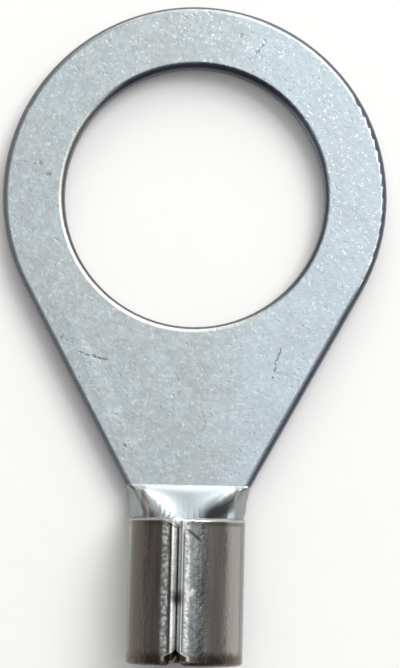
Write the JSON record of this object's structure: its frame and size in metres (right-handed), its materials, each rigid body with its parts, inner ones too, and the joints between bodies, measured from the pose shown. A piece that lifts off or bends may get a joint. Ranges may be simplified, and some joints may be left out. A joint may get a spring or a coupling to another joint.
{
  "type": "ring terminal",
  "caption": "Bare crimp ring terminal: a flat stud ring on a tapered tongue, formed through a dished neck into a rolled wire tube with a butt seam.",
  "frame": {"origin": "centre of the stud hole, half way through the flat tongue", "axes": "+Z along the stud hole, out of the face that the tube rises from; -Y along the wire tube, towards its open rear end; X across the tongue"},
  "size_m": [0.0192, 0.0328, 0.0056],
  "materials": {
    "tinned_copper": "bright tin over copper, tumbled and slightly matt on the flat tongue, glossy on the rolled tube"
  },
  "bodies": {
    "root": {"ring_terminal": "tinned_copper"}
  },
  "joints": []
}
